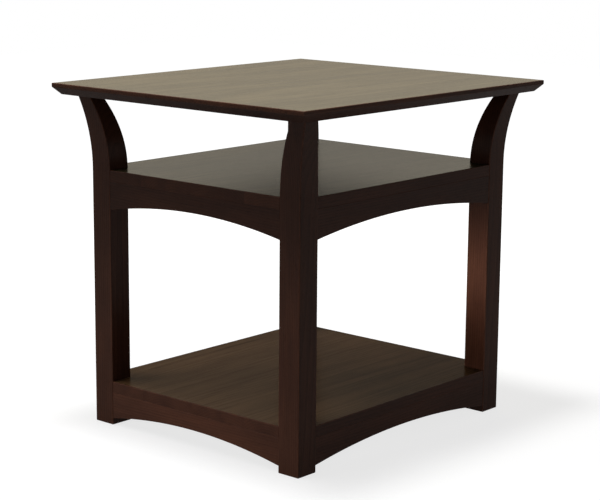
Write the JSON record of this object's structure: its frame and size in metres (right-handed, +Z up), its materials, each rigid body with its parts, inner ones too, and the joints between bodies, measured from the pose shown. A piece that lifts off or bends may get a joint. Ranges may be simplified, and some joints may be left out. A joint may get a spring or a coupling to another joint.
{
  "type": "end table",
  "caption": "Dark stained wood end table with an upper and a lower shelf, square legs that curve outwards under a bevelled top, and arched rails.",
  "frame": {"origin": "on the floor, under the middle of the top", "axes": "+X to the right, +Y from front to back along the length of the top, +Z up"},
  "size_m": [0.582, 0.655, 0.61],
  "materials": {
    "leg_wood": "satin dark brown stain",
    "rail_wood": "satin dark brown stain",
    "top_wood": "satin dark brown stain",
    "shelf_wood": "satin dark brown stain",
    "cleat_wood": "matt dark brown stain",
    "dowel_wood": "bare",
    "screw_steel": "zinc plated"
  },
  "bodies": {
    "root": {"leg_front_left": "leg_wood", "leg_front_right": "leg_wood", "leg_back_right": "leg_wood", "leg_back_left": "leg_wood", "upper_rail_front": "rail_wood", "upper_rail_right": "rail_wood", "upper_rail_back": "rail_wood", "upper_rail_left": "rail_wood", "lower_rail_front": "rail_wood", "lower_rail_right": "rail_wood", "lower_rail_back": "rail_wood", "lower_rail_left": "rail_wood", "top_board_1": "top_wood", "top_board_2": "top_wood", "top_board_3": "top_wood", "top_board_4": "top_wood", "top_board_5": "top_wood", "upper_shelf_board_1": "shelf_wood", "upper_shelf_board_2": "shelf_wood", "upper_shelf_board_3": "shelf_wood", "upper_shelf_board_4": "shelf_wood", "lower_shelf_board_1": "shelf_wood", "lower_shelf_board_2": "shelf_wood", "lower_shelf_board_3": "shelf_wood", "lower_shelf_board_4": "shelf_wood", "upper_cleat_front": "cleat_wood", "upper_cleat_back": "cleat_wood", "lower_cleat_front": "cleat_wood", "lower_cleat_back": "cleat_wood", "leg_top_dowels": "dowel_wood", "upper_shelf_screws": "screw_steel", "upper_cleat_screws": "screw_steel", "lower_shelf_screws": "screw_steel", "lower_cleat_screws": "screw_steel"}
  },
  "joints": []
}
